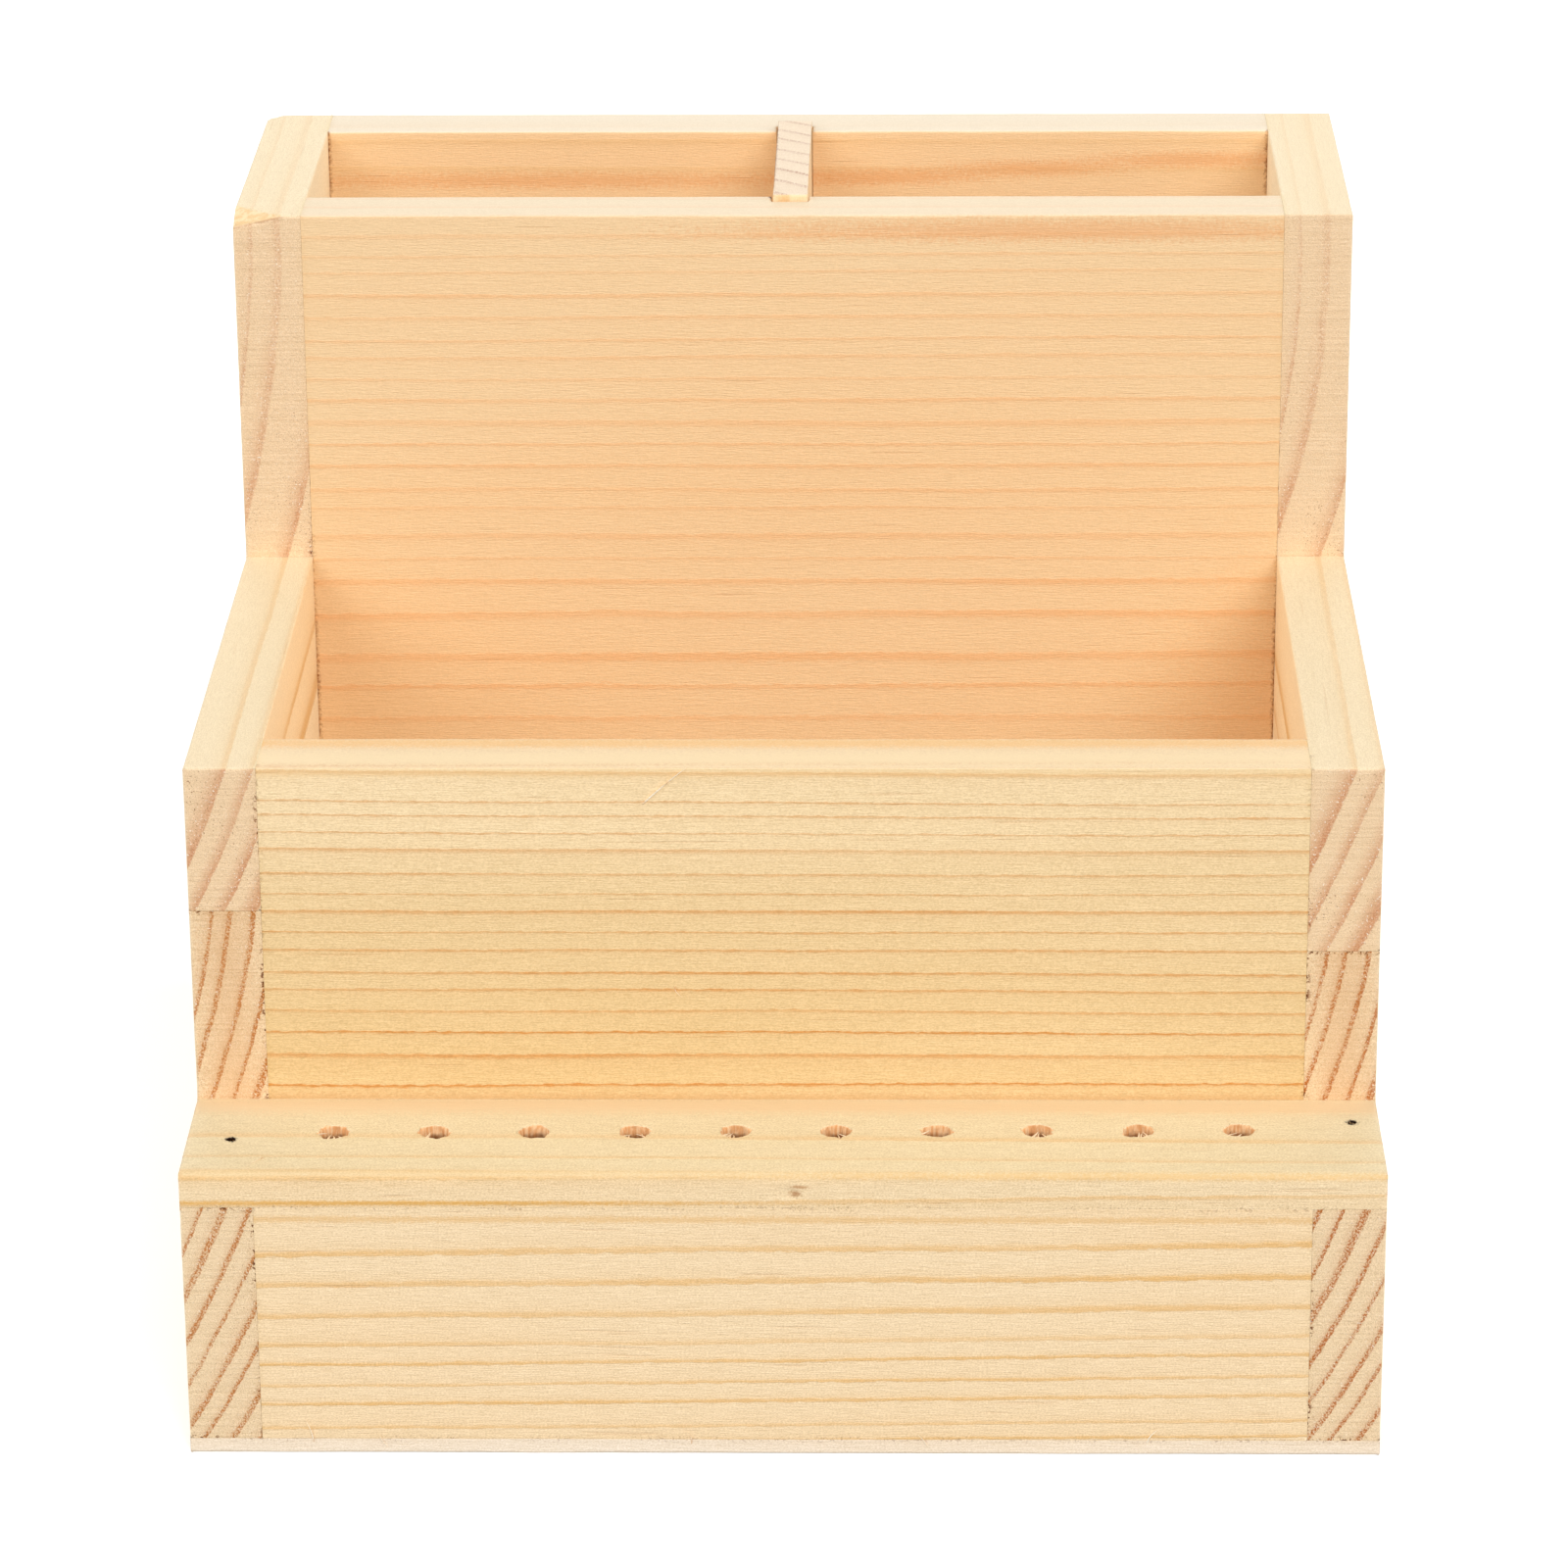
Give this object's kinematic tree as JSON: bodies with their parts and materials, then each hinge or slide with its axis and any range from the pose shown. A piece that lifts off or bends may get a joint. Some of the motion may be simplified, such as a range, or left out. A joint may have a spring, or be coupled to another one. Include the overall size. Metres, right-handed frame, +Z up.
{
  "type": "stepped tool storage caddy",
  "caption": "Stepped open wooden caddy: a drilled rail at the front, a wide trough behind it and two tall bins at the back, parted by a lift-out board.",
  "frame": {"origin": "middle of the underside of the caddy", "axes": "+X to the right seen from the front, -Y towards the drilled rail at the front, +Z up"},
  "size_m": [0.2, 0.205, 0.1777],
  "materials": {
    "pine_board": "unfinished, planed and sanded",
    "thin_pine_board": "unfinished, sanded",
    "brad_steel": "plain wire"
  },
  "bodies": {
    "caddy": {"bin_front_wall_lower_board": "pine_board", "bin_front_wall_upper_board": "pine_board", "bottom_board": "thin_pine_board", "bottom_brads": "brad_steel", "front_apron": "pine_board", "left_side_brads": "brad_steel", "left_side_lower_board": "pine_board", "left_side_upper_board": "pine_board", "rail_brads": "brad_steel", "rear_wall_lower_board": "pine_board", "rear_wall_upper_board": "pine_board", "right_side_brads": "brad_steel", "right_side_lower_board": "pine_board", "right_side_upper_board": "pine_board", "tool_rail": "pine_board", "trough_front_wall": "pine_board"},
    "divider": {"bin_divider": "pine_board"}
  },
  "joints": [
    {"name": "divider_lift", "type": "slide", "parent": "caddy", "child": "divider", "axis": [0, 0, 1], "range_m": [0, 0.18]}
  ]
}
